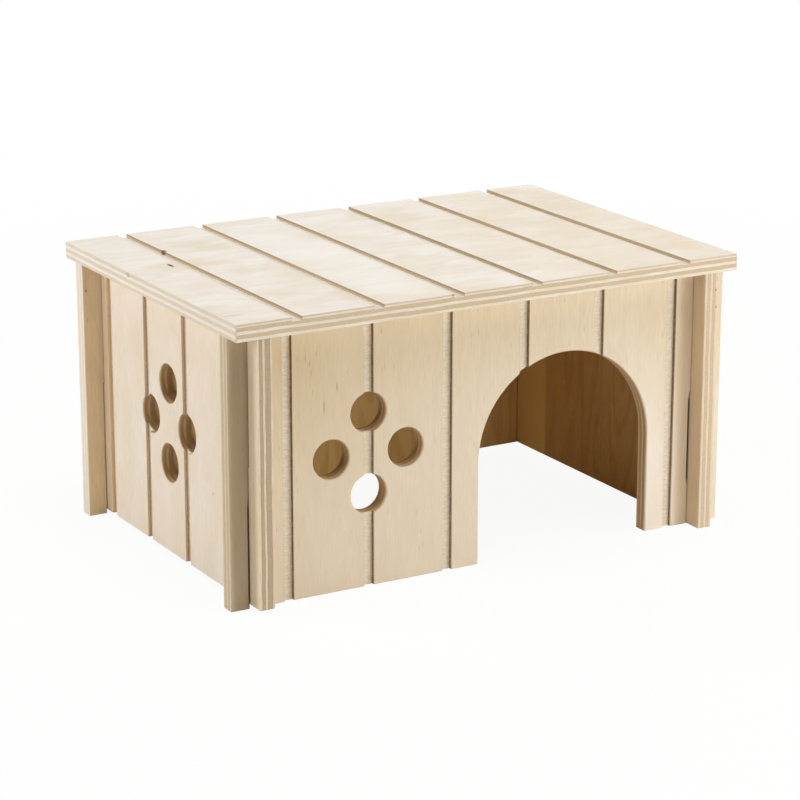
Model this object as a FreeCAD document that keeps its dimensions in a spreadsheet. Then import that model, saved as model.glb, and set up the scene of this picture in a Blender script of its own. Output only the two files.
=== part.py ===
"""Wooden hamster house: five grooved plywood boards, cross-halved at the corners.

Frame: +Z up, the doorway faces -Y, origin on the ground under the middle of the
house, millimetres.  Four boards stand on edge and cross just short of their ends:
the front and back boards are slotted from below, the side boards from above, and
each slot straddles the other board's uncut half.  The roof board lies loose on the
four top edges and is kept in place by two battens glued under it.
"""
import FreeCAD, Part
import os
import Sketcher
from FreeCAD import Placement, Rotation, Vector

doc = FreeCAD.newDocument("HamsterHouse")

# ---------------------------------------------------------------- sizes, in mm
SIZES = [
    ("wall_t", "6.0", "thickness of the four wall boards, five plies"),
    ("roof_t", "6.5", "thickness of the roof board, five plies"),
    ("house_l", "213.0", "length of the front and back boards, end to end"),
    ("house_w", "146.0", "length of the side boards, end to end"),
    ("wall_h", "102.0", "height of the walls, ground to the underside of the roof"),
    ("stub", "7.8", "how far each board runs on past the board it crosses"),
    ("slot_clear", "0.3", "clearance on each side of a board in its slot"),
    ("half_z", "53.6", "height of the shoulders on which the crossed boards meet"),
    ("left_lift", "1.5", "gap between the ground and the left board's lower edge"),
    ("roof_over", "0.5", "how far the roof reaches past the board ends, all round"),
    ("pitch", "33.2", "spacing of the plank grooves"),
    ("groove_w", "3.9", "width of a plank groove"),
    ("groove_d", "1.4", "depth of a plank groove"),
    ("side_shift", "2.6", "shift of the side boards' grooves toward the back"),
    ("arch_x", "35.0", "middle of the doorway, to the right of the house's middle"),
    ("arch_w", "75.8", "width of the doorway"),
    ("arch_z", "39.7", "height at which the doorway's sides turn into its arch"),
    ("hole_d", "14.8", "diameter of the round holes"),
    ("hole_step", "15.5", "distance of each hole from the middle of its group"),
    ("hole_z", "51.0", "height of the middle of the front group of holes"),
    ("side_hole_y", "0.5", "middle of the left group, toward the back"),
    ("rim", "0.35", "chamfer round the doorway and the holes, outside only"),
    ("ease", "0.5", "rounding of the roof board's edges"),
    ("batten_w", "12.0", "width of a batten"),
    ("batten_h", "9.0", "height of a batten"),
    ("batten_clear", "1.0", "gap between a batten and the walls round it"),
    ("lead", "1.5", "chamfer under a batten that guides the roof on"),
]


class Size:
    """A length that knows its present value and its expression in the sheet."""

    def __init__(self, text, value):
        self.text, self.value = text, value

    def join(self, other, sign, flip=False):
        if not isinstance(other, Size):
            other = Size(repr(float(other)), float(other))
        a, b = (other, self) if flip else (self, other)
        value = {"+": a.value + b.value, "-": a.value - b.value,
                 "*": a.value * b.value, "/": a.value / (b.value or 1.0)}[sign]
        return Size("(%s %s %s)" % (a.text, sign, b.text), value)

    def __add__(self, other):
        return self.join(other, "+")

    def __sub__(self, other):
        return self.join(other, "-")

    def __mul__(self, other):
        return self.join(other, "*")

    def __truediv__(self, other):
        return self.join(other, "/")

    def __neg__(self):
        return self.join(-1, "*", flip=True)

    def bind(self, obj, prop):
        """Tie a property of an object to this length."""
        obj.setExpression(prop, "%s * 1 mm" % self.text)


# Every size goes into one sheet; S.name is its handle from here on.
class S:
    pass


sheet = doc.addObject("Spreadsheet::Sheet", "Sizes")
for row, (alias, value, text) in enumerate(SIZES, start=1):
    sheet.set("A%d" % row, alias)
    sheet.set("B%d" % row, value)
    sheet.set("C%d" % row, text)
    sheet.setAlias("B%d" % row, alias)
    setattr(S, alias, Size("Sizes." + alias, float(value)))
doc.recompute()
ZERO = Size("0", 0.0)

# Planes that several pieces share.
FRONT_Y = S.stub - S.house_w / 2          # outside face of the front board
BACK_Y = S.house_w / 2 - S.stub           # outside face of the back board
LEFT_X = S.stub - S.house_l / 2           # outside face of the left board
RIGHT_X = S.house_l / 2 - S.stub          # outside face of the right board


# ------------------------------------------------------------ drawing helpers
def new_body(label, x=ZERO, y=ZERO, z=ZERO, turn=0.0):
    """A body turned about Z, its position bound to the sizes."""
    body = doc.addObject("PartDesign::Body", label)
    body.Label = label
    body.Placement = Placement(Vector(), Rotation(Vector(0, 0, 1), turn))
    x.bind(body, "Placement.Base.x")
    y.bind(body, "Placement.Base.y")
    z.bind(body, "Placement.Base.z")
    return body


def new_sketch(body, name, role, lift=None):
    """An empty sketch lying on one of the body's own origin planes."""
    sketch = doc.addObject("Sketcher::SketchObject", name)
    body.addObject(sketch)
    plane = [f for f in body.Origin.OriginFeatures if f.Role == role][0]
    sketch.AttachmentSupport = [(plane, "")]
    sketch.MapMode = "FlatFace"
    if lift is not None:
        lift.bind(sketch, "AttachmentOffset.Base.z")
    return sketch


def fix_point(sketch, geo, pos, x, y):
    """Hold one point of a sketch at bound distances from the sketch's origin."""
    for kind, size in (("DistanceX", x), ("DistanceY", y)):
        n = sketch.addConstraint(
            Sketcher.Constraint(kind, -1, 1, geo, pos, size.value))
        size.bind(sketch, "Constraints[%d]" % n)


def add_outline(sketch, corners):
    """A closed run of straight lines through bound corners."""
    points = [Vector(x.value, y.value, 0) for x, y in corners]
    count = len(points)
    first = sketch.GeometryCount
    for k in range(count):
        sketch.addGeometry(Part.LineSegment(points[k], points[(k + 1) % count]), False)
    for k, (x, y) in enumerate(corners):
        sketch.addConstraint(Sketcher.Constraint(
            "Coincident", first + k, 2, first + (k + 1) % count, 1))
        fix_point(sketch, first + k, 1, x, y)


def add_oblong(sketch, x0, y0, x1, y1):
    add_outline(sketch, [(x0, y0), (x1, y0), (x1, y1), (x0, y1)])


def add_hole(sketch, x, y, size):
    """A bound circle."""
    centre = Vector(x.value, y.value, 0)
    geo = sketch.addGeometry(
        Part.Circle(centre, Vector(0, 0, 1), size.value / 2), False)
    fix_point(sketch, geo, 3, x, y)
    n = sketch.addConstraint(Sketcher.Constraint("Diameter", geo, size.value))
    size.bind(sketch, "Constraints[%d]" % n)


def add_feature(body, kind, name, sketch, depth, reverse=False):
    """A pad or pocket of bound depth, made from a sketch."""
    feature = doc.addObject(kind, name)
    body.addObject(feature)
    feature.Profile = sketch
    feature.Reversed = reverse
    depth.bind(feature, "Length")
    sketch.Visibility = False
    body.Tip = feature
    doc.recompute()
    return feature


def dress(body, kind, name, base, test, size):
    """A chamfer or fillet of bound size on the edges that pass a test."""
    names = ["Edge%d" % (k + 1) for k, e in enumerate(base.Shape.Edges) if test(e)]
    if not names:
        raise RuntimeError(name + ": no edges")
    feature = doc.addObject(kind, name)
    body.addObject(feature)
    feature.Base = (base, names)
    size.bind(feature, "Size" if kind.endswith("Chamfer") else "Radius")
    body.Tip = feature
    doc.recompute()
    return feature


def groove_row(body, name, sketch, count):
    """One groove cut from its sketch and repeated along the sketch's own X."""
    before = body.Shape.Volume
    pocket = add_feature(body, "PartDesign::Pocket", name + "_groove", sketch, S.groove_d)
    if body.Shape.Volume > before - 1.0:
        raise RuntimeError(name + ": the groove cuts nothing")
    row = doc.addObject("PartDesign::LinearPattern", name + "_grooves")
    body.addObject(row)
    row.Originals = [pocket]
    row.Direction = (sketch, ["H_Axis"])
    body.Tip = row
    (S.pitch * (count - 1)).bind(row, "Length")
    row.Occurrences = count
    doc.recompute()
    return row


# -------------------------------------------------------------- the wall boards
def notch(side, way, half, mouth):
    """Corners of the notch near one end, from the middle of the board outward.

    side is -1 or 1; the notch runs from the mouth to the shoulder height and is as
    wide as the crossing board with a clearance on each side of it.
    """
    inner = half - S.stub - S.wall_t - S.slot_clear
    outer = half - S.stub + S.slot_clear
    if side < 0:
        inner, outer = -inner, -outer
    return [(inner, mouth), (inner, S.half_z), (outer, S.half_z), (outer, mouth)]


def wall_board(label, length, way, grooves, shift=ZERO, foot=ZERO, door=False,
               holes=(), x=ZERO, y=ZERO, turn=0.0):
    """A board standing on edge, its outside face on its own XZ plane, facing -Y.

    The blank is one profile with its two notches, open at the lower edge ("down") or
    at the upper edge ("up"), and its round holes.  The doorway is cut next, then the
    outside arrises of doorway and holes are chamfered and the plank grooves are cut.
    """
    body = new_body(label, x, y, ZERO, turn)
    half = length / 2
    mouth = foot if way == "down" else S.wall_h
    left_notch, right_notch = notch(-1, way, half, mouth), notch(1, way, half, mouth)
    if way == "down":
        corners = ([(-half, foot)] + left_notch[::-1] + right_notch
                   + [(half, foot), (half, S.wall_h), (-half, S.wall_h)])
    else:
        corners = ([(-half, foot), (half, foot), (half, S.wall_h)]
                   + right_notch[::-1] + left_notch + [(-half, S.wall_h)])
    blank = new_sketch(body, label + "_outline", "XZ_Plane")
    add_outline(blank, corners)
    for hx, hz in holes:
        add_hole(blank, hx, hz, S.hole_d)
    tip = add_feature(body, "PartDesign::Pad", label + "_blank", blank, S.wall_t, True)
    if door:
        tip = doorway(body, label)
    if door or holes:
        jambs = [(S.arch_x - S.arch_w / 2).value, (S.arch_x + S.arch_w / 2).value]

        def on_rim(edge):
            box = edge.BoundBox
            if max(abs(box.YMin), abs(box.YMax)) > 1e-6:
                return False
            upright = box.XMax - box.XMin < 1e-6
            jamb = door and upright and min(abs(box.XMin - j) for j in jambs) < 1e-3
            return edge.Curve.TypeId == "Part::GeomCircle" or jamb

        tip = dress(body, "PartDesign::Chamfer", label + "_rims", tip, on_rim, S.rim)
    line = new_sketch(body, label + "_plank_line", "XZ_Plane")
    middle = shift - S.pitch * ((grooves - 1) / 2.0)
    add_oblong(line, middle - S.groove_w / 2, -S.ease,
               middle + S.groove_w / 2, S.wall_h + S.ease)
    groove_row(body, label, line, grooves)
    return body


def doorway(body, label):
    """Straight jambs under a half-round head, cut right through the board."""
    cut = new_sketch(body, label + "_doorway", "XZ_Plane")
    cx, cz, r = S.arch_x.value, S.arch_z.value, S.arch_w.value / 2
    low = -S.ease.value
    cut.addGeometry(Part.LineSegment(Vector(cx - r, cz, 0), Vector(cx - r, low, 0)), False)
    cut.addGeometry(Part.LineSegment(Vector(cx - r, low, 0), Vector(cx + r, low, 0)), False)
    cut.addGeometry(Part.LineSegment(Vector(cx + r, low, 0), Vector(cx + r, cz, 0)), False)
    head = Part.Circle(Vector(cx, cz, 0), Vector(0, 0, 1), r)
    cut.addGeometry(Part.ArcOfCircle(head, 0.0, 3.141592653589793), False)
    for a, b in ((0, 1), (1, 2)):
        cut.addConstraint(Sketcher.Constraint("Coincident", a, 2, b, 1))
    for a, b, c, d in ((2, 2, 3, 1), (3, 2, 0, 1)):
        cut.addConstraint(Sketcher.Constraint("Coincident", a, b, c, d))
    fix_point(cut, 3, 3, S.arch_x, S.arch_z)
    fix_point(cut, 0, 1, S.arch_x - S.arch_w / 2, S.arch_z)
    fix_point(cut, 1, 1, S.arch_x - S.arch_w / 2, -S.ease)
    cut.addConstraint(Sketcher.Constraint("Horizontal", 1))
    cut.addConstraint(Sketcher.Constraint("Vertical", 2))
    cut.addConstraint(Sketcher.Constraint("Horizontal", 3, 1, 3, 2))
    before = body.Shape.Volume
    pocket = add_feature(body, "PartDesign::Pocket", label + "_door", cut, S.wall_t)
    if body.Shape.Volume > before - 1.0:
        raise RuntimeError("the doorway cuts nothing")
    return pocket


def diamond(x, z):
    """Middles of four holes set round one point."""
    return [(x, z + S.hole_step), (x, z - S.hole_step),
            (x - S.hole_step, z), (x + S.hole_step, z)]


# The front board: notched from below, doorway right of the middle, and a diamond of
# four holes over the second plank line from the left.
wall_board("front_board", S.house_l, "down", 6, door=True,
           holes=diamond(-S.pitch * 1.5, S.hole_z), y=FRONT_Y)

# The back board: the same blank turned round, whole.
wall_board("back_board", S.house_l, "down", 6, y=BACK_Y, turn=180.0)

# The left board: notched from above, its own diamond of holes, lower edge clear of
# the ground.  Its own +X runs toward the front.
wall_board("left_board", S.house_w, "up", 4, shift=-S.side_shift, foot=S.left_lift,
           holes=diamond(-S.side_hole_y, S.hole_z + S.left_lift), x=LEFT_X, turn=-90.0)

# The right board: notched from above, whole, standing on the ground.
wall_board("right_board", S.house_w, "up", 4, shift=S.side_shift, x=RIGHT_X, turn=90.0)


# --------------------------------------------------------------- the roof board
# A plain oblong with eased edges, grooved from front to back across its top face.
roof = new_body("roof_board", z=S.wall_h)
roof_x, roof_y = S.house_l / 2 + S.roof_over, S.house_w / 2 + S.roof_over
plan = new_sketch(roof, "roof_plan", "XY_Plane")
add_oblong(plan, -roof_x, -roof_y, roof_x, roof_y)
slab = add_feature(roof, "PartDesign::Pad", "roof_blank", plan, S.roof_t)
dress(roof, "PartDesign::Fillet", "roof_eased", slab, lambda edge: True, S.ease)
line = new_sketch(roof, "roof_plank_line", "XY_Plane", lift=S.roof_t)
first = -S.pitch * 2.5
add_oblong(line, first - S.groove_w / 2, -roof_y - S.ease,
           first + S.groove_w / 2, roof_y + S.ease)
groove_row(roof, "roof", line, 6)


# ------------------------------------------------------------ the roof's battens
def batten(label, side):
    """A strip glued under the roof just inside a side wall, chamfered below."""
    reach = RIGHT_X - S.wall_t - S.batten_clear - S.batten_w / 2
    body = new_body(label, x=reach if side > 0 else -reach, z=S.wall_h - S.batten_h)
    end = BACK_Y - S.wall_t - S.batten_clear
    sketch = new_sketch(body, label + "_plan", "XY_Plane")
    add_oblong(sketch, -S.batten_w / 2, -end, S.batten_w / 2, end)
    strip = add_feature(body, "PartDesign::Pad", label + "_strip", sketch, S.batten_h)
    dress(body, "PartDesign::Chamfer", label + "_lead", strip,
          lambda edge: edge.BoundBox.ZMax < 1e-6, S.lead)


batten("batten_left", -1)
batten("batten_right", 1)

# ------------------------------------------------------------- check and write
doc.recompute()
for obj in doc.Objects:
    if "Invalid" in obj.State or "Error" in obj.State:
        raise RuntimeError("%s: %s" % (obj.Name, obj.State))
os.makedirs("parts", exist_ok=True)
for obj in doc.Objects:
    if obj.TypeId != "PartDesign::Body":
        continue
    shape = obj.Shape
    if shape.isNull() or not shape.isValid() or len(shape.Solids) != 1:
        raise RuntimeError("%s: bad shape" % obj.Label)
    shape.exportStep("parts/%s.step" % obj.Label)
    box = shape.BoundBox
    print("%-14s volume %9.1f  x %7.2f %7.2f  y %7.2f %7.2f  z %6.2f %6.2f" % (
        obj.Label, shape.Volume, box.XMin, box.XMax, box.YMin, box.YMax, box.ZMin,
        box.ZMax))
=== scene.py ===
import math

import bpy
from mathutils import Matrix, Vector
from mathutils.bvhtree import BVHTree


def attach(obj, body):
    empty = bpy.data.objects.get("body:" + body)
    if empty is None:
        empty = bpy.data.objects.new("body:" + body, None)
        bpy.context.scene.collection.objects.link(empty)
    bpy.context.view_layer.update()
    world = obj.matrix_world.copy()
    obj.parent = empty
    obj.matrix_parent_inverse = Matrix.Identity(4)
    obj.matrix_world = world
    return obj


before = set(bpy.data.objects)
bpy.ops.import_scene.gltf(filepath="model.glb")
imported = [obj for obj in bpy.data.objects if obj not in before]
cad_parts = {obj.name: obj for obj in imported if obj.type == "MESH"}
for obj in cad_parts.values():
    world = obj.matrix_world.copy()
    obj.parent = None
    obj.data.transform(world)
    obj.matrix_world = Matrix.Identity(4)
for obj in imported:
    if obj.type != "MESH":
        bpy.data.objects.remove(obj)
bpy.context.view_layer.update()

# ---------------------------------------------------------------------------
# Where the house stands: a plain pale floor under soft studio light.
# The floor and the world are white to the eye and to gloss, and light the wood
# only at a plain level, so the floor still keeps a faint shadow.
# ---------------------------------------------------------------------------
EYE = Vector((-0.53100, -0.92461, 0.36036))
AIM = Vector((0.00020, -0.00095, 0.04751))
LENS_MM, SENSOR_MM = 127.93, 36.0
NEAREST_M, FARTHEST_M = 0.05, 50.0
WHITE = "#FFFFFF"
AMBIENT = 0.05
FLOOR_REACH_M = 6.0
FLOOR_CORNERS = ((-1, -1), (1, -1), (1, 1), (-1, 1))
# How white the paper is to the eye near the house, and between which distances it gets plain white.
NEAR_WHITE, WHITER_FROM_M, WHITE_FROM_M = 0.93, 0.20, 0.75
LAMP_AIM = Vector((0, 0, 0.05))
# name, azimuth from the front, elevation, distance m, width m, watts, tint
LAMPS = (
    ("lamp_top", 20, 78, 1.5, 1.2, 15.4, "#FFFEFC"),
    ("lamp_front_right", 40, 7, 0.75, 0.42, 2.5, "#FFFDFA"),
    ("lamp_front", 2, 8, 1.2, 0.40, 1.7, "#FFFDFA"),
    ("lamp_left_front", -78, 16, 1.6, 0.5, 3.3, "#F9FBFF"),
    ("lamp_left_back", -125, 20, 1.6, 0.6, 14.4, "#F9FBFF"),
    ("lamp_back_right", 140, 18, 1.6, 0.8, 5.0, "#FFFEFC"),
)


def linear_of(code):
    """An sRGB hex colour as the linear values that a shader takes."""
    parts = [int(code[i:i + 2], 16) / 255 for i in (1, 3, 5)]
    return tuple(c / 12.92 if c <= 0.04045 else ((c + 0.055) / 1.055) ** 2.4 for c in parts) + (1.0,)


def add(tree, kind, feeds=(), **settings):
    """Adds a node with its settings, and gives its inputs their values or links."""
    node = tree.nodes.new(kind)
    for name, value in settings.items():
        setattr(node, name, value)
    for name, value in dict(feeds).items():
        if isinstance(value, bpy.types.NodeSocket):
            tree.links.new(value, node.inputs[name])
        else:
            node.inputs[name].default_value = value
    return node


def output_of(tree, kind, feeds=(), output=0, **settings):
    """The same, for a node of which only one output is wanted."""
    return add(tree, kind, feeds, **settings).outputs[output]


def maths(tree, operation, *feeds, **settings):
    """One step of arithmetic on numbers or sockets."""
    return output_of(tree, "ShaderNodeMath", dict(enumerate(feeds)), operation=operation, **settings)


def ramp(tree, socket, low, high, start=0.0, stop=1.0):
    """Goes smoothly from start to stop while the socket goes from low to high."""
    feeds = {"Value": socket, "From Min": low, "From Max": high, "To Min": start, "To Max": stop}
    return output_of(tree, "ShaderNodeMapRange", feeds, interpolation_type="SMOOTHSTEP")


def seen_directly(tree):
    """1 where a ray comes from the eye, a gloss or a clear body, and 0 where it brings light."""
    path = add(tree, "ShaderNodeLightPath").outputs
    either = maths(tree, "MAXIMUM", path["Is Camera Ray"], path["Is Glossy Ray"])
    return maths(tree, "MAXIMUM", either, path["Is Transmission Ray"])


camera = bpy.data.objects.new("camera", bpy.data.cameras.new("camera"))
bpy.context.scene.collection.objects.link(camera)
camera.data.lens = LENS_MM
camera.data.sensor_width = SENSOR_MM
camera.data.clip_start, camera.data.clip_end = NEAREST_M, FARTHEST_M
camera.location = EYE
camera.rotation_euler = (AIM - EYE).to_track_quat("-Z", "Y").to_euler()
bpy.context.scene.camera = camera
bpy.context.scene.view_settings.view_transform = "Standard"

world = bpy.data.worlds.new("studio")
bpy.context.scene.world = world
world.use_nodes = True
air = world.node_tree
level = output_of(air, "ShaderNodeMapRange", {"Value": seen_directly(air), "To Min": AMBIENT, "To Max": 1.0})
air.links.new(level, air.nodes["Background"].inputs["Strength"])
air.nodes["Background"].inputs["Color"].default_value = linear_of(WHITE)

floor_mesh = bpy.data.meshes.new("floor")
corners = [(x * FLOOR_REACH_M, y * FLOOR_REACH_M, 0) for x, y in FLOOR_CORNERS]
floor_mesh.from_pydata(corners, [], [(0, 1, 2, 3)])
floor = bpy.data.objects.new("floor", floor_mesh)
bpy.context.scene.collection.objects.link(floor)
# Dull white paper takes the house's shadow, and further off it is plain white to the eye.
paper = bpy.data.materials.new("white_paper_floor")
paper.use_nodes = True
sheet = paper.node_tree
sheet.nodes.remove(sheet.nodes["Principled BSDF"])
matte = output_of(sheet, "ShaderNodeBsdfDiffuse", {"Color": linear_of("#F6F5F3")})
glow = output_of(sheet, "ShaderNodeEmission", {"Color": linear_of(WHITE), "Strength": 1.0})
spot = add(sheet, "ShaderNodeTexCoord").outputs["Object"]
far_off = output_of(sheet, "ShaderNodeVectorMath", {0: spot}, "Value", operation="LENGTH")
white = ramp(sheet, far_off, WHITER_FROM_M, WHITE_FROM_M, NEAR_WHITE, 1.0)
share = maths(sheet, "MULTIPLY", seen_directly(sheet), white)
blend = output_of(sheet, "ShaderNodeMixShader", {0: share, 1: matte, 2: glow})
sheet.links.new(blend, sheet.nodes["Material Output"].inputs["Surface"])
floor_mesh.materials.append(paper)

for name, azimuth, elevation, distance, width, watts, tint in LAMPS:
    lamp = bpy.data.objects.new(name, bpy.data.lights.new(name, "AREA"))
    bpy.context.scene.collection.objects.link(lamp)
    lamp.data.shape, lamp.data.size, lamp.data.energy = "DISK", width, watts
    lamp.data.color = linear_of(tint)[:3]
    turn, rise = math.radians(azimuth), math.radians(elevation)
    toward = Vector((math.sin(turn) * math.cos(rise), -math.cos(turn) * math.cos(rise), math.sin(rise)))
    lamp.location = LAMP_AIM + toward * distance
    lamp.rotation_euler = (-toward).to_track_quat("-Z", "Y").to_euler()

# ---------------------------------------------------------------------------
# The four wall boards: raw birch plywood 6 mm thick, five peeled plies glued
# with their grain crossed, sawn, grooved and drilled, and slotted into each
# other at the corners without glue or nails.
# ---------------------------------------------------------------------------
MM_PER_M = 1000.0
X, Y, Z = (1, 0, 0), (0, 1, 0), (0, 0, 1)
WALL_MM, WALL_TOP_MM = 6.0, 102.0
WALL_PLIES = (1.2, 2.4, 3.6, 4.8)
# How far from the house's middle the outer faces of the front and back and of the sides lie.
FRONT_FACE_MM, SIDE_FACE_MM = 65.2, 98.7
# How far the room reaches from the middle, along the front and along the sides.
ROOM_MM = {X: SIDE_FACE_MM - WALL_MM, Y: FRONT_FACE_MM - WALL_MM}
# The grooves' pitch, and how far back the side boards' pattern of grooves is shifted.
PITCH_MM, SIDE_SHIFT_MM = 33.2, 2.6
FRONT_GROOVE_MM, SIDE_GROOVE_MM = PITCH_MM / 2, PITCH_MM / 2 + SIDE_SHIFT_MM
# A peeled ply is thicker and thinner by this much over a few centimetres.
PLY_WANDER_MM = 0.16
# How far inside the wood a point on a face is taken to lie.
SKIN_MM = 0.01
# How far through the grain's pattern one ply lies from the next.
PLY_SHIFT_MM = 23.7
# Farther than any point is from a glue line.
FAR_FROM_GLUE_MM = 9.0
# The film of glue is 0.05 mm thick, drawn 0.12 mm so that it shows.
GLUE_MM = 0.12
# How many radians of the flame figure's waves the noise behind it runs through.
FLAME_WAVES = 46.0
# Between these distances from a groove's middle the painted shading of its side walls ends.
GROOVE_SHADING_ENDS_MM = (2.1, 2.5)
# The painted warm light on the cut walls ends this far past the room, and this near the board's top and
# foot.
CUT_LIGHT_PAST_MM, CUT_LIGHT_FADE_MM, CUT_LIGHT_CLEAR_MM = 10.0, 1.0, (0.3, 0.6)
# The painted warm light of the room on the inner face sets in between these distances from it, and ends in
# this width where the room ends.
INNER_SKIN_MM, ROOM_FADE_MM = (0.4, 0.1), 0.3
# The depth at which the outer ply's sawn edge stops being darker.
OUTER_EDGE_MM = (0.40, 0.62)
# Where on its way out, from 0 at the middle to 1 at its edge, a soft mark starts to fade.
SOFT_FROM = 0.45
BUMP_STRENGTH, BUMP_M = 0.55, 0.00005
SATIN = (0.58, 0.72)
FAINT_SHINE = 0.07


def vectors(tree, operation, *feeds, output="Vector"):
    """One step of arithmetic on places or directions."""
    return output_of(tree, "ShaderNodeVectorMath", dict(enumerate(feeds)), output, operation=operation)


def between(tree, share, first, second):
    """first where share is 0 and second where it is 1."""
    return output_of(tree, "ShaderNodeMix", {0: share, 2: first, 3: second})


def painted(tree, share, under, over):
    """The same for colours."""
    return output_of(tree, "ShaderNodeMix", {0: share, 6: under, 7: over}, 2, data_type="RGBA")


def lie_of(tree, ways):
    """A point's place in mm, how far it lies along each way, and how squarely it faces each way."""
    place = add(tree, "ShaderNodeTexCoord").outputs
    to_mm = {0: place["Object"], "Scale": MM_PER_M}
    point = output_of(tree, "ShaderNodeVectorMath", to_mm, operation="SCALE")
    spots = [vectors(tree, "DOT_PRODUCT", point, way, output="Value") for way in ways]
    faced = [vectors(tree, "DOT_PRODUCT", place["Normal"], way, output="Value") for way in ways]
    return point, spots, [maths(tree, "ABSOLUTE", facing) for facing in faced]


def ply_of(tree, point, depth, edge_on, thick_mm, plies):
    """Which ply a point lies in, counted from the outer face, and how far it is from a glue line."""
    noise = output_of(tree, "ShaderNodeTexNoise", {"Vector": point, "Scale": 0.06, "Detail": 3.0})
    wander = output_of(tree, "ShaderNodeMapRange", {
        "Value": noise, "From Min": 0.3, "From Max": 0.7, "To Min": -PLY_WANDER_MM, "To Max": PLY_WANDER_MM})
    wandered = maths(tree, "MULTIPLY_ADD", wander, edge_on, depth)
    held = output_of(tree, "ShaderNodeClamp", {"Value": wandered, "Min": SKIN_MM, "Max": thick_mm - SKIN_MM})
    ply, to_glue = 0.0, FAR_FROM_GLUE_MM
    for glue_line in plies:
        past = maths(tree, "SUBTRACT", held, glue_line)
        ply = maths(tree, "ADD", ply, maths(tree, "GREATER_THAN", past, 0.0))
        to_glue = maths(tree, "MINIMUM", to_glue, maths(tree, "ABSOLUTE", past))
    return ply, to_glue


def grained(tree, wood, length, width, through, detail=2.0, rough=0.5, twist=0.0):
    """Noise in marks of this size in mm, along and across the fibres and through the ply."""
    scaled = vectors(tree, "MULTIPLY", wood, (1 / length, 1 / width, 1 / through))
    return output_of(tree, "ShaderNodeTexNoise", {
        "Vector": scaled, "Scale": 1.0, "Detail": detail, "Roughness": rough, "Distortion": twist})


def growth_of(tree, wood, point):
    """What has grown in the wood, each from 0 to 1: wide blotches, clouds along the grain, the
    flame figure's bands, streaks, fine fibres, pores, and the specks that end grain shows."""
    waves = maths(tree, "MULTIPLY", grained(tree, wood, 95.0, 17.0, 9.0, 1.5, 0.45, 0.4), FLAME_WAVES)
    # A pore is 0.1 mm wide and 1 to 4 mm long; it is drawn 0.3 mm wide so that it shows.
    cell = vectors(tree, "MULTIPLY", wood, (1 / 10.0, 1 / 1.1, 1 / 1.1))
    dash = output_of(tree, "ShaderNodeTexVoronoi", {"Vector": cell, "Scale": 1.0}, "Distance")
    porous = ramp(tree, grained(tree, wood, 34.0, 7.0, 5.0), 0.44, 0.66)
    dots = output_of(tree, "ShaderNodeTexNoise", {"Vector": point, "Scale": 1.9, "Detail": 2.0})
    stains = output_of(tree, "ShaderNodeTexNoise", {"Vector": point, "Scale": 0.035, "Detail": 3.0})
    return {
        "blotch": ramp(tree, stains, 0.46, 0.66),
        "cloud": ramp(tree, grained(tree, wood, 34.0, 16.0, 6.0, 4.0), 0.40, 0.62),
        "flame": ramp(tree, maths(tree, "SINE", waves), -0.2, 1.0),
        "streak": ramp(tree, grained(tree, wood, 8.0, 0.9, 1.1, 3.0, 0.6), 0.36, 0.66),
        "fine": ramp(tree, grained(tree, wood, 6.0, 0.5, 0.22, 2.0, 0.6), 0.35, 0.65),
        "pore": maths(tree, "MULTIPLY", ramp(tree, dash, 0.06, 0.19, 1.0, 0.0), porous),
        "speck": ramp(tree, dots, 0.38, 0.64),
    }


def painted_groove_shade_and_cut_light(tree, u, v, depth, turned, edge_on, tones, room_mm):
    """Where painted shading goes on the side walls of the grooves, and where painted warm light goes on the
    walls of the doorway, the holes and the slots. The board's ends, its top and a foot that stands on the
    ground get neither."""
    way = tones["groove_way"]
    from_groove = maths(tree, "SUBTRACT", (u, v)[way], tones["groove_at"])
    from_groove = maths(tree, "PINGPONG", from_groove, PITCH_MM / 2)
    painted_groove_shading = maths(tree, "MULTIPLY", turned[way], ramp(tree, depth, *tones["groove_shading_mm"], 1.0, 0.0))
    painted_groove_shading = maths(tree, "MULTIPLY", painted_groove_shading, ramp(tree, from_groove, *GROOVE_SHADING_ENDS_MM, 1.0, 0.0))
    off_middle = maths(tree, "ABSOLUTE", v)
    reach = room_mm + CUT_LIGHT_PAST_MM
    low, high = CUT_LIGHT_CLEAR_MM
    painted_cut_light = edge_on
    for kept in (
            ramp(tree, off_middle, reach, reach + CUT_LIGHT_FADE_MM, 1.0, 0.0),
            ramp(tree, u, low, high),
            ramp(tree, u, WALL_TOP_MM - high, WALL_TOP_MM - low, 1.0, 0.0)):
        painted_cut_light = maths(tree, "MULTIPLY", painted_cut_light, kept)
    return painted_groove_shading, maths(tree, "SUBTRACT", painted_cut_light, painted_groove_shading, use_clamp=True)


def mark_coats(tree, point, marks):
    """The marks of one piece of wood: soft round ones, and sharp ones with flat sides."""
    coats = []
    for at, half_sizes, strength, shade, *sharpness in marks:
        off = vectors(tree, "SUBTRACT", point, at)
        shrunk = vectors(tree, "MULTIPLY", off, tuple(1 / size for size in half_sizes))
        if sharpness:
            sides = add(tree, "ShaderNodeSeparateXYZ", {0: vectors(tree, "ABSOLUTE", shrunk)}).outputs
            away = maths(tree, "MAXIMUM", maths(tree, "MAXIMUM", sides[0], sides[1]), sides[2])
        else:
            away = vectors(tree, "LENGTH", shrunk, output="Value")
        full_to = sharpness[0] if sharpness else SOFT_FROM
        coats.append((ramp(tree, away, full_to, 1.0, 1.0, 0.0), strength, shade))
    return coats


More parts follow.
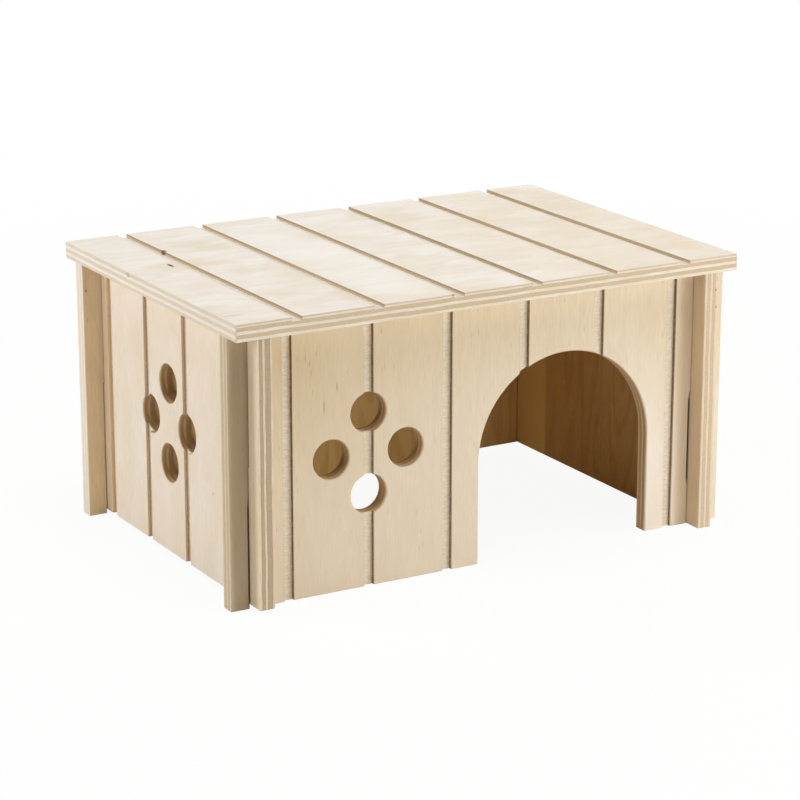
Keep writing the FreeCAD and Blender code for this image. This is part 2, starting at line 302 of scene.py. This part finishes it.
def plywood(name, ways, outer_mm, thick_mm, plies, tones, room_mm, drift_mm=200.0, marks=()):
    """Raw plywood, peeled and sanded: satin-dull, with fine dark pores along the grain, a faint
    flame figure, and stripes of end grain and long grain wherever a saw or bit has cut it.

    ways are the board's own directions: along its face grain, across it, and inward from its
    outer face, which lies at outer_mm. plies says how deep the glue lines lie under that face,
    and room_mm how far the room reaches across the board from its middle. The face veneer's
    colour changes from near to far, from drift_mm before the middle to drift_mm past it.
    """
    made = bpy.data.materials.new(name)
    made.use_nodes = True
    tree = made.node_tree
    point, (u, v, w), turned = lie_of(tree, ways)
    depth = maths(tree, "SUBTRACT", w, outer_mm)
    edge_on = maths(tree, "SUBTRACT", 1.0, turned[2])
    ply, to_glue = ply_of(tree, point, depth, edge_on, thick_mm, plies)
    # Every second ply has its grain crossed, and shows end grain where the others show long grain.
    crossed = maths(tree, "MODULO", ply, 2.0)
    end_on = ramp(tree, between(tree, crossed, turned[0], turned[1]), 0.30, 0.90)
    wood = output_of(tree, "ShaderNodeCombineXYZ", {
        0: between(tree, crossed, u, v),
        1: between(tree, crossed, v, u),
        2: maths(tree, "MULTIPLY_ADD", ply, PLY_SHIFT_MM, depth),
    })
    grown = growth_of(tree, wood, point)
    painted_groove_shading, painted_cut_light = painted_groove_shade_and_cut_light(tree, u, v, depth, turned, edge_on, tones, room_mm)
    glue = maths(tree, "MULTIPLY", ramp(tree, to_glue, 0.0, GLUE_MM, 1.0, 0.0), edge_on)
    bed = maths(tree, "MULTIPLY", crossed, turned[2])
    torn = maths(tree, "MULTIPLY", bed, ramp(tree, grained(tree, wood, 2.4, 0.6, 0.6, 3.0), 0.40, 0.62))
    skin_from, skin_to = (thick_mm - above for above in INNER_SKIN_MM)
    inside = maths(tree, "MULTIPLY", turned[2], ramp(tree, depth, skin_from, skin_to))
    off_middle = maths(tree, "ABSOLUTE", v)
    in_room = ramp(tree, off_middle, room_mm, room_mm + ROOM_FADE_MM, 1.0, 0.0)
    inside = maths(tree, "MULTIPLY", inside, in_room)
    outer_edge = maths(tree, "MULTIPLY", turned[1], ramp(tree, depth, *OUTER_EDGE_MM, 1.0, 0.0))

    # Each coat: where it shows, how strongly, and its colour.
    coats = [
        (grown["blotch"], tones["blotch"], tones["warm"]),
        (grown["cloud"], 0.45, tones["cloud"]),
        (grown["flame"], tones["flame"], tones["late"]),
        (grown["streak"], tones["grain"], tones["streak"]),
        # painted warm light of the room on the inner face, with the flame figure browner in it
        (inside, 0.82, tones["inside"]),
        (maths(tree, "MULTIPLY", grown["flame"], inside), 0.22, "#C08A40"),
        (grown["fine"], 0.12, tones["streak"]),
        (grown["pore"], tones["pores"], tones["pore"]),
        (bed, 0.60, tones["bed"]),
        (torn, 0.45, tones["torn"]),
        (end_on, 0.85, tones["end"]),
        (maths(tree, "MULTIPLY", end_on, grown["speck"]), 0.35, tones["speck"]),
        (edge_on, 0.25, tones["core"]),
        (maths(tree, "MULTIPLY", grown["fine"], edge_on), 0.35, tones["end"]),
        (glue, 0.50, tones["glue"]),
        # painted shading on the side walls of the grooves
        (painted_groove_shading, tones["groove_shading_amount"], tones["painted_groove_shading"]),
        # painted warm light on the cut walls of the doorway, the holes and the slots, with darker specks in
        # its end grain
        (painted_cut_light, tones["cut_light_amount"], tones["painted_cut_light"]),
        (maths(tree, "MULTIPLY", painted_cut_light, end_on), 0.40, tones["speck"]),
        (outer_edge, tones["arris"], tones["glue"]),
    ]
    drift = {"Value": v, "From Min": -drift_mm, "From Max": drift_mm}
    near_to_far = output_of(tree, "ShaderNodeMapRange", drift)
    colour = painted(tree, near_to_far, linear_of(tones["near"]), linear_of(tones["far"]))
    for factor, amount, shade in coats + mark_coats(tree, point, marks):
        colour = painted(tree, maths(tree, "MULTIPLY", factor, amount), colour, linear_of(shade))

    height = grown["fine"]
    reliefs = ((grown["streak"], 0.35), (grown["pore"], -1.2), (torn, 2.5), (grown["speck"], end_on))
    for relief, amount in reliefs:
        height = maths(tree, "MULTIPLY_ADD", relief, amount, height)
    rise = {"Strength": BUMP_STRENGTH, "Distance": BUMP_M, "Height": height}
    bump = output_of(tree, "ShaderNodeBump", rise)
    shader = tree.nodes["Principled BSDF"]
    tree.links.new(colour, shader.inputs["Base Color"])
    tree.links.new(ramp(tree, grown["streak"], 0.0, 1.0, *SATIN), shader.inputs["Roughness"])
    tree.links.new(bump, shader.inputs["Normal"])
    shader.inputs["Specular IOR Level"].default_value = FAINT_SHINE
    return made


# Points this near are joined, faces this near to one plane become one, and edges sharper than
# this are broken.
JOIN_M, FLAT_DEGREES, SHARP_DEGREES = 0.000002, 0.6, 40
WALL_ARRIS_MM = 0.22


def soften(board, width_mm):
    """Breaks the sawn arrises as sandpaper does. The board's own mesh stays as it is."""
    weld = board.modifiers.new("joined", "WELD")
    weld.merge_threshold = JOIN_M
    flat = board.modifiers.new("flat_faces", "DECIMATE")
    flat.decimate_type, flat.angle_limit = "DISSOLVE", math.radians(FLAT_DEGREES)
    arris = board.modifiers.new("arris", "BEVEL")
    arris.width, arris.segments = width_mm / MM_PER_M, 2
    arris.limit_method, arris.angle_limit = "ANGLE", math.radians(SHARP_DEGREES)
    arris.use_clamp_overlap = False


WALL_TONES = {
    # colours of the growth, the painted warm light of the room on the inner face, of sawn edges and groove
    # floors, and the painted shading of groove walls and painted warm light on cut walls
    "cloud": "#E0CFB3", "late": "#CDB692", "streak": "#C6AE89", "pore": "#94784F", "warm": "#D9C29A",
    "inside": "#EEC276", "core": "#E2D3B8", "end": "#B9A283", "speck": "#957C5C", "glue": "#866A46",
    "bed": "#E6D7BC", "torn": "#F8F1E3", "painted_groove_shading": "#7A5328", "painted_cut_light": "#E6B36E",
    # how strongly they show
    "grain": 0.15, "flame": 0.12, "pores": 0.55, "blotch": 0.15, "groove_shading_amount": 0.78, "cut_light_amount": 0.50, "arris": 0.0,
    # how deep the painted shading of the groove walls reaches, which of the board's ways (0 or 1) the
    # grooves are spaced along, and where the middle of one lies
    "groove_shading_mm": (1.45, 1.75), "groove_way": 1, "groove_at": SIDE_GROOVE_MM,
}
PORE, SPECK = "#8A704C", "#6B5338"
# board: long direction, way in from its outer face, where that face lies, and its own tones,
# with the veneer's colour at one end and the other
WALLS = {
    "front_board": (X, Y, -FRONT_FACE_MM, {
        "near": "#D6C19F", "far": "#E8DAC3", "groove_at": FRONT_GROOVE_MM}),
    "back_board": (X, (0, -1, 0), -FRONT_FACE_MM, {
        "near": "#EED5AE", "far": "#E6D6BC", "inside": "#FFD583", "groove_at": FRONT_GROOVE_MM}),
    "left_board": (Y, X, -SIDE_FACE_MM, {
        "near": "#E6DACA", "far": "#E8DCCB", "grain": 0.08, "flame": 0.05, "pores": 0.3, "groove_shading_amount": 0.35,
        "painted_groove_shading": "#D9B280", "painted_cut_light": "#E8AF5E", "end": "#A78E6C", "plies": (0.85, 2.1, 3.1, 5.1)}),
    "right_board": (Y, (-1, 0, 0), -SIDE_FACE_MM, {
        "near": "#EBDBC2", "far": "#DFCEB0", "end": "#C9B497", "core": "#EEDCC6"}),
}
# The marks of each piece of wood: place and half sizes in mm, strength and colour. A soft mark is
# round. One with a fifth value has flat sides and is full up to that share of its half sizes.
WALL_MARKS = {
    "front_board": (
        # painted floor-bounce light, paler toward the foot and lower right; painted shadow on the left stub,
        # cast by the side board's stub; painted warm shade in the strip by the right stub
        ((20.0, -65.2, 0.0), (220.0, 1.0, 100.0), 0.20, "#F2EFE8"),
        ((66.0, -65.2, 0.0), (28.0, 1.0, 80.0), 0.45, "#F4ECE1"),
        ((-102.2, -65.2, 50.0), (6.2, 1.0, 150.0), 0.46, "#6F5530"),
        ((90.5, -65.2, 50.0), (6.0, 1.0, 150.0), 0.30, "#D2AD79"),
        # painted shadow in the gaps beside the two stubs, drawn wider than the joint's own clearance
        ((92.3, -65.2, 34.5), (0.55, 1.0, 19.0), 0.97, "#24160A", 0.8),
        ((-99.1, -65.2, 21.0), (0.5, 1.0, 22.0), 0.90, "#2E1E0E", 0.7),
        # small slits and pores
        ((82.6, -65.2, 63.4), (1.7, 1.0, 0.5), 0.85, SPECK),
        ((82.1, -65.2, 94.8), (1.7, 1.0, 0.4), 0.50, PORE),
        ((-62.8, -65.2, 77.9), (0.35, 1.0, 2.2), 0.50, PORE),
        ((-68.1, -65.2, 71.3), (0.35, 1.0, 3.4), 0.55, PORE),
    ),
    "back_board": (
        # the left stub's paler end, and a speck
        ((-107.0, 62.2, 50.0), (1.0, 3.4, 500.0), 0.60, "#EFE7D9", 0.9),
        ((-105.1, 59.2, 91.5), (0.5, 1.0, 0.9), 0.60, SPECK),
    ),
    "left_board": (
        # a speck, and painted shadow in the gap behind the front board, which crosses here
        ((-98.7, -36.0, 35.2), (1.0, 0.5, 1.0), 0.45, SPECK),
        ((-98.7, -58.7, 80.0), (1.0, 0.45, 60.0), 0.60, "#6B573F"),
        # painted warm light on the front stub's outer face and by the back corner, and a painted shadow line
        # under the roof
        ((-98.7, -69.5, 50.0), (1.0, 6.0, 150.0), 0.40, "#FFE0AE"),
        ((-98.0, 56.2, 50.0), (2.0, 4.0, 500.0), 0.50, "#FFE0AE"),
        ((-98.7, 0.0, 102.0), (1.0, 90.0, 0.8), 0.60, "#6B573F"),
    ),
    "right_board": (
        # painted warm shade on the front stub's inner face; then, on the room's inner face, a lighter band
        # with a sharp edge by the back corner and the rest a little browner
        ((92.7, -69.0, 50.0), (1.0, 6.0, 150.0), 0.35, "#C99B5E"),
        ((92.7, 48.3, 50.0), (0.6, 10.9, 500.0), 0.92, "#FFDB94", 0.97),
        ((92.7, -11.2, 50.0), (0.6, 48.6, 500.0), 0.16, "#C88C42", 0.99),
        # specks on the front end
        ((97.7, -73.0, 95.3), (0.4, 1.0, 0.8), 0.60, SPECK),
        ((98.0, -73.0, 88.6), (0.4, 1.0, 0.8), 0.60, SPECK),
    ),
}
WALL_DRIFT_MM = 106.0
for label, (length_way, inward, outer_mm, own) in WALLS.items():
    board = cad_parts[label]
    board.material_slots[0].material = plywood(
        label + "_birch_ply", (Z, length_way, inward), outer_mm, WALL_MM, own.get("plies", WALL_PLIES),
        dict(WALL_TONES, **own), ROOM_MM[length_way], WALL_DRIFT_MM, WALL_MARKS[label])
    soften(board, WALL_ARRIS_MM)

# ---------------------------------------------------------------------------
# The roof board: the same plywood, 6.5 mm thick, with its face grain running
# the length of the house and six plank grooves across it. It lies loose on
# the walls and lifts straight up.
# ---------------------------------------------------------------------------
DOWN = (0, 0, -1)
ROOF_MM, ROOF_TOP_MM = 6.5, 108.5
ROOF_PLIES = (1.3, 2.6, 3.9, 5.2)
ROOF_ARRIS_MM, ROOF_DRIFT_MM = 0.25, 73.0
ROOF_TONES = dict(
    WALL_TONES, near="#EDE4D7", far="#F0E9DF",
    cloud="#FAF7F2", late="#E2D4BE", streak="#DFD2BE", pore="#B39C7B", warm="#E2CFAF",
    inside="#E3BC7C", core="#E9D6B7", end="#C6AF8D", speck="#A8926F", glue="#A58B66",
    bed="#F0E8DB", torn="#F5EDDF", painted_groove_shading="#8F7552",
    grain=0.16, flame=0.20, pores=0.30, blotch=0.42, groove_shading_amount=0.60, cut_light_amount=0.0, arris=0.55,
    groove_shading_mm=(0.50, 0.90), groove_way=0, groove_at=FRONT_GROOVE_MM)
ROOF_MARKS = (
    # a paler area and a warmer one, and the left edge's paler plies with a stain
    ((-33.0, -10.0, 108.5), (21.0, 90.0, 1.0), 0.40, "#F8F3EC"),
    ((80.0, -10.0, 108.5), (75.0, 95.0, 1.0), 0.28, "#E2CDAB"),
    ((-107.0, 0.0, 105.2), (0.5, 120.0, 3.6), 0.34, "#EFE6DA", 0.9),
    ((-107.0, 15.2, 107.4), (1.0, 2.4, 1.1), 0.45, "#9C8262"),
    # a knot at a groove's arris, an open slit, and small pores and specks
    ((-80.8, 39.5, 107.9), (1.5, 2.6, 1.5), 0.90, "#7B5136"),
    ((-88.7, 17.0, 108.5), (0.95, 3.5, 0.5), 0.95, "#3E3226"),
    ((55.5, 50.9, 108.5), (1.8, 0.4, 0.4), 0.40, PORE),
    ((-102.0, -60.7, 108.5), (5.5, 0.6, 0.4), 0.60, "#BFAE92"),
    ((-19.5, -73.5, 108.1), (0.6, 0.8, 0.6), 0.55, SPECK),
)
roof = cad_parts["roof_board"]
roof.material_slots[0].material = plywood(
    "roof_birch_ply", (X, Y, DOWN), -ROOF_TOP_MM, ROOF_MM, ROOF_PLIES,
    ROOF_TONES, ROOM_MM[Y], ROOF_DRIFT_MM, ROOF_MARKS)
soften(roof, ROOF_ARRIS_MM)

# ---------------------------------------------------------------------------
# The two battens under the roof: planed lime, which keep the roof from
# sliding off the walls.
# ---------------------------------------------------------------------------
BATTEN_TONES = dict(WALL_TONES, near="#E3D3B8", far="#E3D3B8", groove_shading_amount=0.0, cut_light_amount=0.0)
BATTEN_ARRIS_MM = 0.3
# Deeper than a batten is, so that no face of it gets the painted warm light of a board's inner face.
ALL_THROUGH_MM = 100.0
for side in ("batten_left", "batten_right"):
    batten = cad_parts[side]
    batten.material_slots[0].material = plywood(
        side + "_planed_lime", (Y, X, DOWN), -WALL_TOP_MM, ALL_THROUGH_MM, (), BATTEN_TONES, ROOM_MM[X])
    soften(batten, BATTEN_ARRIS_MM)

# ---------------------------------------------------------------------------
# The torn fibres: where the router cuts the grooves across the second ply, it
# leaves short pale fuzz of birch along their corners and arrises, in clumps.
# ---------------------------------------------------------------------------
GROOVE_DEPTH_MM, GROOVE_HALF_MM = 1.4, 1.95
# How far under the face the fuzz of an arris is rooted: on the walls, and deeper on the roof.
WALL_FUZZ_MM, ROOF_FUZZ_MM = 0.25, 0.75
# Where along the grooves fibres grow. The left board starts higher.
WALL_RUN_MM, LEFT_RUN_MM, ROOF_RUN_MM = (2.0, 100.0), (4.0, 100.0), (-72.0, 72.0)
# The step between the points tried on a groove's corner, and how near to wood they have to be.
STEP_MM, TOUCHING_M = 1.0, 0.00003
# How far the fibres of a corner and of an arris lean toward the groove's middle and out of it.
CORNER_LEAN, ARRIS_LEAN = (0.9, 0.35), (1.0, -0.25)
FIBRE_SPACING_M = 0.0009
# A fibre's way is off its lean by up to WOBBLE each way, and it is between these shares of the
# full length.
WOBBLE, SMALLEST, LARGEST = 0.55, 0.35, 1.2
# How fine the clumps are: marks per metre.
CLUMPS = 130.0
# A fibre's curl, for a length of 1, and how much of its thickness its tip has lost.
CURL = {"Start": (0, 0, 0), "Middle": (0.1, 0, 0.55), "End": (0.45, 0, 0.9)}
TIP_LOSS = 0.8
FIBRE_INPUTS = (
    ("Spacing", "Float"), ("Length", "Float"), ("Thickness", "Float"), ("Share", "Float"),
    ("Seed", "Int"), ("Wood", "Material"))


def fibre_wood():
    """Torn birch fibre: pale and dull, because its broken ends scatter the light."""
    made = bpy.data.materials.new("torn_birch_fibre")
    made.use_nodes = True
    tree = made.node_tree
    place = add(tree, "ShaderNodeTexCoord").outputs["Object"]
    patch = output_of(tree, "ShaderNodeTexNoise", {"Vector": place, "Scale": 700.0, "Detail": 2.0})
    shader = tree.nodes["Principled BSDF"]
    mixed = painted(tree, patch, linear_of("#D9C6A6"), linear_of("#F4EBDB"))
    tree.links.new(mixed, shader.inputs["Base Color"])
    dull = output_of(tree, "ShaderNodeMapRange", {"Value": patch, "To Min": 0.7, "To Max": 0.85})
    tree.links.new(dull, shader.inputs["Roughness"])
    return made


def fibre_tree():
    """Sets thin curled slivers along the input's edges, each leaning as its point's "lean" says."""
    tree = bpy.data.node_groups.new("torn_fibres", "GeometryNodeTree")
    sockets = tree.interface
    sockets.new_socket("Geometry", in_out="INPUT", socket_type="NodeSocketGeometry")
    for name, kind in FIBRE_INPUTS:
        sockets.new_socket(name, in_out="INPUT", socket_type="NodeSocket" + kind)
    sockets.new_socket("Geometry", in_out="OUTPUT", socket_type="NodeSocketGeometry")

    def made(kind, feeds=(), output=0, **settings):
        return output_of(tree, kind, feeds, output, **settings)

    given = add(tree, "NodeGroupInput").outputs
    lines = made("GeometryNodeMeshToCurve", {"Mesh": given["Geometry"]}, "Curve")
    evenly = {"Curve": lines, "Length": given["Spacing"]}
    dots = made("GeometryNodeResampleCurve", evenly, "Curve", mode="LENGTH")
    lean = made("GeometryNodeInputNamedAttribute", {"Name": "lean"}, "Attribute", data_type="FLOAT_VECTOR")
    either_way = {0: (-WOBBLE,) * 3, 1: (WOBBLE,) * 3, "Seed": given["Seed"]}
    wobble = made("FunctionNodeRandomValue", either_way, data_type="FLOAT_VECTOR")
    way = vectors(tree, "ADD", lean, wobble)
    turn = made("FunctionNodeAlignRotationToVector", {"Vector": way}, "Rotation", axis="Z")
    where = made("GeometryNodeInputPosition")
    clump = made("ShaderNodeTexNoise", {"Vector": where, "Scale": CLUMPS, "Detail": 2.0})
    clumped = made("FunctionNodeCompare", {0: clump, 1: given["Share"]}, operation="LESS_THAN")
    sizes = {2: SMALLEST, 3: LARGEST, "Seed": given["Seed"]}
    size = made("FunctionNodeRandomValue", sizes, 1, data_type="FLOAT")

    curl = made("GeometryNodeCurveQuadraticBezier", dict(CURL, Resolution=3))
    along = made("GeometryNodeSplineParameter", (), "Factor")
    slim = maths(tree, "MULTIPLY_ADD", along, -TIP_LOSS, 1.0)
    long = made("ShaderNodeCombineXYZ", {0: given["Length"], 1: given["Length"], 2: given["Length"]})
    curl = made("GeometryNodeTransform", {"Geometry": curl, "Scale": long})
    curl = made("GeometryNodeSetCurveRadius", {"Curve": curl, "Radius": slim})
    ring = made("GeometryNodeCurvePrimitiveCircle", {"Resolution": 3, "Radius": given["Thickness"]})
    sliver = made("GeometryNodeCurveToMesh", {"Curve": curl, "Profile Curve": ring, "Fill Caps": True})

    placed = made("GeometryNodeInstanceOnPoints", {
        "Points": dots, "Instance": sliver, "Rotation": turn, "Selection": clumped, "Scale": size})
    real = made("GeometryNodeRealizeInstances", {"Geometry": placed})
    real = made("GeometryNodeSetMaterial", {"Geometry": real, "Material": given["Wood"]})
    add(tree, "NodeGroupOutput", {"Geometry": real})
    return tree


def groove_corners(label, run, across, out, face_mm, centres, ends, fuzz_mm=WALL_FUZZ_MM):
    """The corners and arrises of a board's grooves, kept only where there is wood under them."""
    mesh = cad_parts[label].data
    wood = BVHTree.FromPolygons([v.co for v in mesh.vertices], [list(p.vertices) for p in mesh.polygons])
    run, across, out = Vector(run), Vector(across), Vector(out)
    steps = int((ends[1] - ends[0]) / STEP_MM) + 1
    points, joins, leans = [], [], []
    for centre in centres:
        for side in (-1, 1):
            for depth, (sideways, outward) in ((GROOVE_DEPTH_MM, CORNER_LEAN), (fuzz_mm, ARRIS_LEAN)):
                lean = -side * across * sideways + out * outward
                edge = across * (centre + side * GROOVE_HALF_MM)
                before = False
                for step in range(steps):
                    spot = run * (ends[0] + step * STEP_MM) + edge + out * (face_mm - depth)
                    here = wood.find_nearest(spot / MM_PER_M)[3] < TOUCHING_M
                    if here:
                        points.append(spot / MM_PER_M)
                        leans.append(lean)
                        if before:
                            joins.append((len(points) - 2, len(points) - 1))
                    before = here
    return points, joins, leans


def fibres(name, body, parts, length_mm, thick_mm, share, seed):
    """One mesh of torn fibres for a body, grown along all its groove corners."""
    points, joins, leans = [], [], []
    for part_points, part_joins, part_leans in parts:
        joins += [(a + len(points), b + len(points)) for a, b in part_joins]
        points += part_points
        leans += part_leans
    paths = bpy.data.meshes.new(name + "_paths")
    paths.from_pydata(points, joins, [])
    lean = paths.attributes.new("lean", "FLOAT_VECTOR", "POINT")
    lean.data.foreach_set("vector", [c for way in leans for c in way])
    carrier = bpy.data.objects.new(name + "_paths", paths)
    bpy.context.scene.collection.objects.link(carrier)
    grown = carrier.modifiers.new("fibres", "NODES")
    grown.node_group = FIBRES
    wanted = {
        "Spacing": FIBRE_SPACING_M, "Length": length_mm / MM_PER_M, "Thickness": thick_mm / MM_PER_M,
        "Share": share, "Seed": seed, "Wood": FIBRE_WOOD}
    for item in FIBRES.interface.items_tree:
        if item.in_out == "INPUT" and item.name in wanted:
            grown[item.identifier] = wanted[item.name]
    graph = bpy.context.evaluated_depsgraph_get()
    mesh = bpy.data.meshes.new_from_object(carrier.evaluated_get(graph), depsgraph=graph)
    mesh.name = name
    piece = bpy.data.objects.new(name, mesh)
    bpy.context.scene.collection.objects.link(piece)
    bpy.data.objects.remove(carrier)
    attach(piece, body)


FIBRES, FIBRE_WOOD = fibre_tree(), fibre_wood()
across_front = [PITCH_MM * (i - 2.5) for i in range(6)]
along_side = [1.5 * PITCH_MM + SIDE_SHIFT_MM - PITCH_MM * i for i in range(4)]
house_corners = [
    groove_corners("front_board", Z, X, (0, -1, 0), FRONT_FACE_MM, across_front, WALL_RUN_MM),
    groove_corners("back_board", Z, X, (0, 1, 0), FRONT_FACE_MM, across_front, WALL_RUN_MM),
    groove_corners("left_board", Z, Y, (-1, 0, 0), SIDE_FACE_MM, along_side, LEFT_RUN_MM),
    groove_corners("right_board", Z, Y, (1, 0, 0), SIDE_FACE_MM, along_side, WALL_RUN_MM),
]
roof_corners = [groove_corners("roof_board", Y, X, Z, ROOF_TOP_MM, across_front, ROOF_RUN_MM, ROOF_FUZZ_MM)]
fibres("wall_groove_fibres", "house", house_corners,
       length_mm=0.95, thick_mm=0.055, share=0.50, seed=7)
fibres("roof_groove_fibres", "roof", roof_corners,
       length_mm=0.55, thick_mm=0.05, share=0.40, seed=11)
